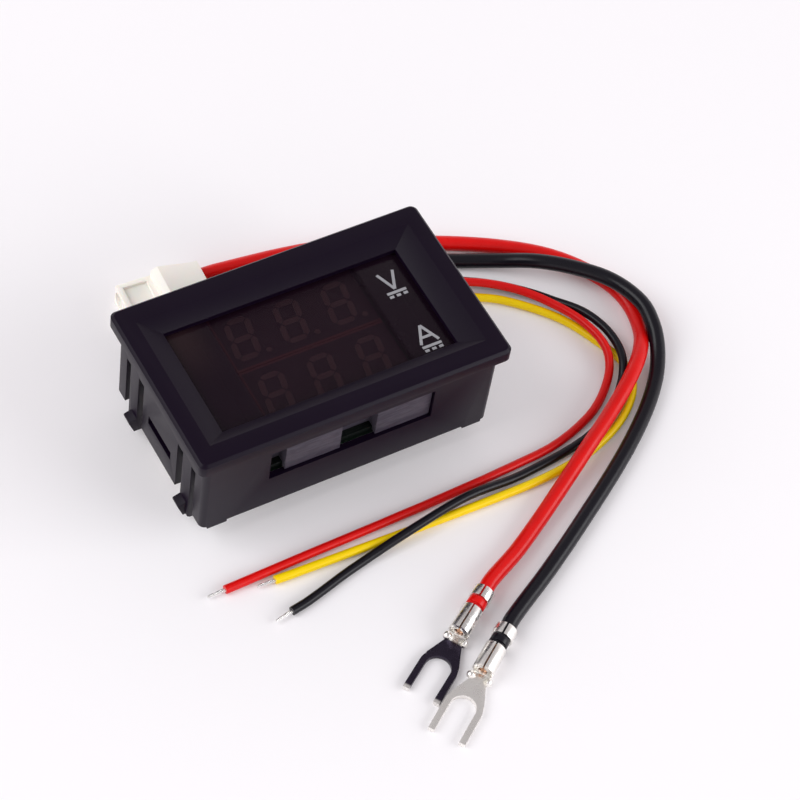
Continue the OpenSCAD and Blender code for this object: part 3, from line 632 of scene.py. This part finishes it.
# The red fork's blade gets a painted dark reflection
red_lead_fork = eased("red_fork", "red_lead_fork", 0.12)
red_lead_fork.data.materials[0] = painted_reflection_blade(
    "fork_painted_reflection", RED_FORK, start_mm=8.9, end_mm=18.1, top_mm=0.9).material
eased("black_fork", "black_lead_fork", 0.12)
eased("volt_rotor", "volt_screw", 0.06, body="volt_rotor")
eased("amp_rotor", "amp_screw", 0.06, body="amp_rotor")

for node, name, place in (
        ("red_tinned_end", "red_lead_strands", RED_TIP),
        ("black_tinned_end", "black_lead_strands", BLACK_TIP),
        ("yellow_tinned_end", "yellow_lead_strands", YELLOW_TIP)):
    strands(node, name, place, THIN / 2, start_mm=0, length_mm=2.7, spread_mm=0.19,
            strand_mm=0.2, taper=0.35)
for node, name, place in (
        ("red_conductor", "red_core_strands", RED_FORK),
        ("black_conductor", "black_core_strands", BLACK_FORK)):
    strands(node, name, place, FORK_AXIS, start_mm=3.2, length_mm=4.2, spread_mm=0.36,
            strand_mm=0.42)

declare(red_current_lead)
declare(black_current_lead)
declare(red_supply_lead)
declare(black_supply_lead)
declare(yellow_sense_lead)


# ---- studio ---------------------------------------------------------------

FLOOR_SIZE = 6
FLOOR_GAP = 0.02 * MM
DAYLIGHT = (0.96, 0.985, 1.0)

# The air's brightness by the height of the direction: walls up to one height,
# then a soft change to the ceiling
WALLS = (1.10, 1.045, 1.07)
WALL_TOP = 0.30
CEILING = (0.46, 0.437, 0.448)
CEILING_EDGE = 0.70


def studio_floor():
    """Pale floor that keeps the soft shadow of what stands on it."""
    bpy.ops.object.select_all(action="DESELECT")
    bpy.ops.mesh.primitive_plane_add(size=FLOOR_SIZE, location=(0, 0, -FLOOR_GAP))
    floor = bpy.context.active_object
    floor.name = "studio_floor"
    finish = Finish("studio_floor", Roughness=0.9, Specular_IOR_Level=0.1,
                    Emission_Strength=0.068)
    cloud = finish.noise(900.0)
    paths = finish.node("ShaderNodeLightPath", {}).socket.node
    seen = [Signal(finish, paths.outputs[words])
            for words in ("Is Camera Ray", "Is Glossy Ray", "Is Transmission Ray")]
    finish.set(Emission_Color=finish.blend(
        seen[0] + seen[1] + seen[2], (0, 0, 0), (1.0, 0.96, 0.98)))
    finish.set(Base_Color=finish.blend(cloud, (0.86, 0.845, 0.86), (0.88, 0.865, 0.88)))
    floor.data.materials.append(finish.material)


def lamp(name, where, size, power):
    """Soft lamp of two sides that points at the middle of the scene."""
    light = bpy.data.lights.new(name, "AREA")
    light.shape = "RECTANGLE"
    light.size, light.size_y = size
    light.energy = power
    light.color = DAYLIGHT
    holder = bpy.data.objects.new(name, light)
    holder.location = where
    holder.rotation_euler = (-Vector(where)).to_track_quat("-Z", "Y").to_euler()
    bpy.context.collection.objects.link(holder)


def studio_air():
    """Bright walls all round and a darker ceiling."""
    world = bpy.data.worlds.new("studio_air")
    world.use_nodes = True
    bpy.context.scene.world = world
    tree = world.node_tree
    direction = tree.nodes.new("ShaderNodeTexCoord")
    split = tree.nodes.new("ShaderNodeSeparateXYZ")
    height = tree.nodes.new("ShaderNodeMapRange")
    height.interpolation_type = "SMOOTHSTEP"
    height.inputs["From Min"].default_value = WALL_TOP
    height.inputs["From Max"].default_value = CEILING_EDGE
    colours = tree.nodes.new("ShaderNodeMix")
    colours.data_type = "RGBA"
    colours.inputs[MIX_FIRST].default_value = (*WALLS, 1)
    colours.inputs[MIX_SECOND].default_value = (*CEILING, 1)
    tree.links.new(direction.outputs["Generated"], split.inputs["Vector"])
    tree.links.new(split.outputs["Z"], height.inputs["Value"])
    tree.links.new(height.outputs["Result"], colours.inputs[MIX_AMOUNT])
    tree.links.new(colours.outputs[MIX_RESULT], tree.nodes["Background"].inputs["Color"])


studio_floor()
lamp("window_light", (-0.80, 0.25, 0.75), (0.8, 0.8), 6.5)
lamp("front_fill", (0.62, -0.62, 0.42), (0.8, 0.5), 4.5)
studio_air()

bpy.context.scene.view_settings.view_transform = "Standard"
